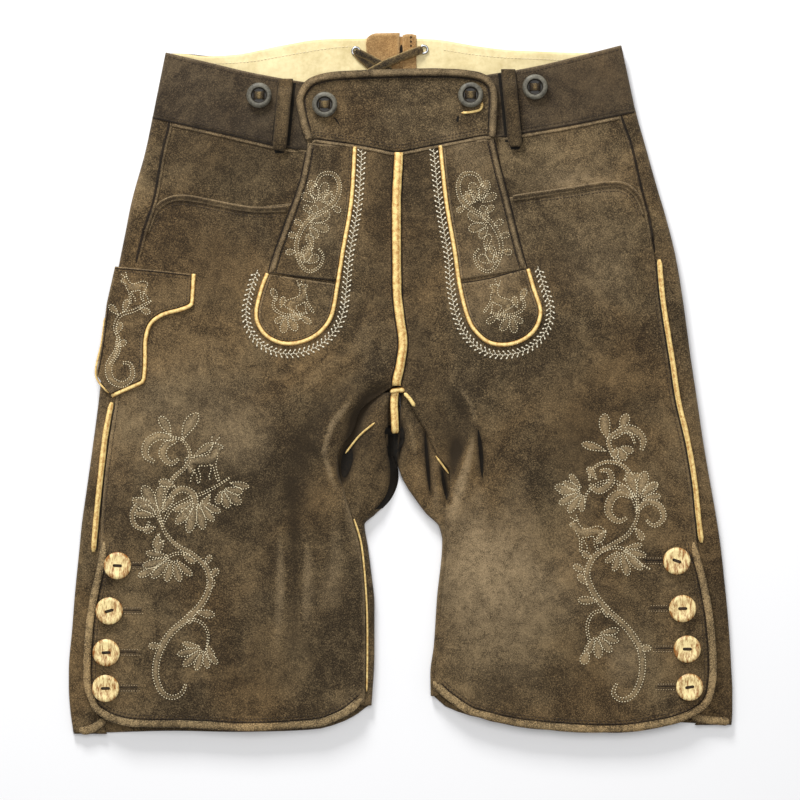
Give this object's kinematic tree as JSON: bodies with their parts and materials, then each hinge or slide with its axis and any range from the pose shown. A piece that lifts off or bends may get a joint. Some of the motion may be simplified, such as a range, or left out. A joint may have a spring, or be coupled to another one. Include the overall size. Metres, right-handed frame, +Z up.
{
  "type": "lederhosen",
  "caption": "Short leather trousers with a drop flap, embroidered straps, piping, horn buttons and a laced waist, laid flat with the front up.",
  "frame": {"origin": "on the surface under the middle of the garment's outline", "axes": "+X towards the wearer's left leg, +Y towards the waist, +Z up from the surface, out of the front"},
  "size_m": [0.5588, 0.5904, 0.0255],
  "materials": {
    "suede": "washed olive-brown goat suede, matt and mottled",
    "band_suede": "darker matt suede",
    "piping": "golden smooth leather",
    "lining": "cream cotton twill",
    "camel": "camel suede",
    "horn": "cream and brown grained horn, satin",
    "button_grey": "grey horn, satin",
    "thong": "dark brown leather lace with tan cut edges",
    "metal": "worn nickel"
  },
  "bodies": {
    "root": {"back_panel_l": "suede", "back_panel_r": "suede", "belt_loop_l": "band_suede", "belt_loop_r": "band_suede", "bib_band": "suede", "bib_roll": "suede", "crotch_piping_l": "piping", "crotch_piping_r": "piping", "crotch_tab": "piping", "eyelet_l": "metal", "eyelet_r": "metal", "front_panel_l": "suede", "front_panel_r": "suede", "front_piping": "piping", "gusset_l": "camel", "gusset_r": "camel", "hem_roll_back_l": "suede", "hem_roll_back_r": "suede", "hem_roll_front_l": "suede", "hem_roll_front_r": "suede", "hip_piece_l": "suede", "hip_piece_r": "suede", "horn_button_l1": "horn", "horn_button_l2": "horn", "horn_button_l3": "horn", "horn_button_l4": "horn", "horn_button_r1": "horn", "horn_button_r2": "horn", "horn_button_r3": "horn", "horn_button_r4": "horn", "inseam_piping_r": "piping", "knife_pocket": "suede", "knife_pocket_piping": "piping", "lace_l": "thong", "lace_r": "thong", "pocket_roll_l": "suede", "pocket_roll_r": "suede", "side_piping_l": "piping", "side_piping_r": "piping", "strap_l": "suede", "strap_piping_l": "piping", "strap_piping_r": "piping", "strap_r": "suede", "strap_tongue_l": "suede", "strap_tongue_r": "suede", "suspender_button_band_l": "button_grey", "suspender_button_band_r": "button_grey", "suspender_button_bib_l": "button_grey", "suspender_button_bib_r": "button_grey", "thong_band_l": "thong", "thong_band_r": "thong", "thong_bib_l": "thong", "thong_bib_r": "thong", "waistband_back_l": "band_suede", "waistband_back_r": "band_suede", "waistband_front_l": "band_suede", "waistband_front_r": "band_suede", "waistband_lining_l": "lining", "waistband_lining_r": "lining"}
  },
  "joints": []
}
